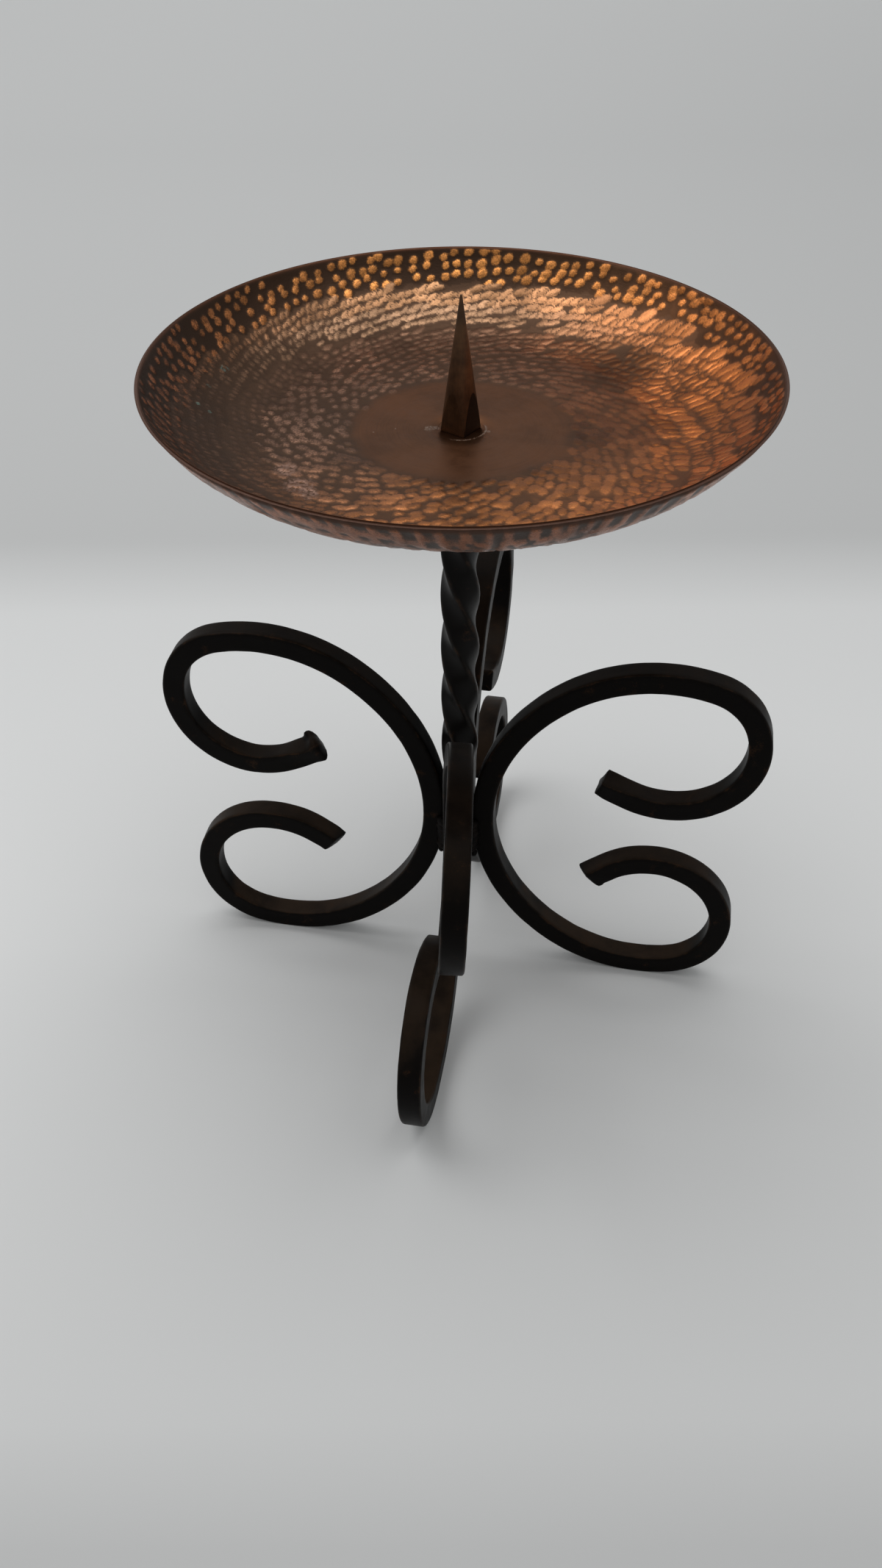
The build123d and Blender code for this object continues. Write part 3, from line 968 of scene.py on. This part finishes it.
def makeStage():
    bm = bmesh.new()
    bmesh.ops.create_grid(bm, x_segments=1, y_segments=1, size=stage["size"] / 2)
    mesh = bpy.data.meshes.new("floor")
    bm.to_mesh(mesh)
    bm.free()
    floor = bpy.data.objects.new("floor", mesh)
    bpy.context.scene.collection.objects.link(floor)
    look = Finish("paleFloor", {"Specular IOR Level": stage["shine"], "Roughness": stage["roughness"]})
    heading = math.radians(camera["heading"])
    depth = look.measure("DOT_PRODUCT", look.place, (-math.sin(heading), math.cos(heading), 0))
    near, far = stage["tones"][0][0], stage["tones"][-1][0]
    stops = [((at - near) / (far - near), colour(*(tone * tint for tint in stage["tint"])))
             for at, tone in stage["tones"]]
    ramp = look.node("ShaderNodeValToRGB", {"stops": stops}, {0: (depth - near) * (1 / (far - near))})
    look.feed(look.shader, {"Base Color": ramp})
    mesh.materials.append(look.material)


# one wide soft lamp overhead, in a pale studio
studio = {
    "lampAt": (-0.55, 0.2, 1.45), "lampAim": (-0.55, 0.2, 0.0),
    "lampSize": (2.5, 1.0), "lampPower": 15.5,
    "sky": colour(0.97, 0.98, 0.98), "skyPower": 0.45,
}


def lightStage():
    data = bpy.data.lights.new("overhead", "AREA")
    data.shape = "RECTANGLE"
    data.size, data.size_y = studio["lampSize"]
    data.energy = studio["lampPower"]
    lamp = bpy.data.objects.new("overhead", data)
    lamp.location = studio["lampAt"]
    aim = Vector(studio["lampAim"]) - Vector(studio["lampAt"])
    lamp.rotation_euler = aim.to_track_quat("-Z", "Y").to_euler()
    bpy.context.scene.collection.objects.link(lamp)
    world = bpy.data.worlds.new("studio")
    bpy.context.scene.world = world
    world.use_nodes = True
    sky = world.node_tree.nodes["Background"]
    sky.inputs["Color"].default_value = studio["sky"]
    sky.inputs["Strength"].default_value = studio["skyPower"]
    bpy.context.scene.view_settings.view_transform = "Standard"
    print("stage and lamp set")


placeCamera()
makeDish(copperLook())
makeStem(ironLook("stemIron", iron["stemShine"]))
forgedIron = ironLook("forgedIron", iron["scrollShine"])
for side in scroll["turns"]:
    makeScroll(side, forgedIron)
makeSpike(spikeLook())
weldMetal = weldLook()
for corner in weld["turns"]:
    makeWeld(corner, weldMetal)
makeStage()
lightStage()
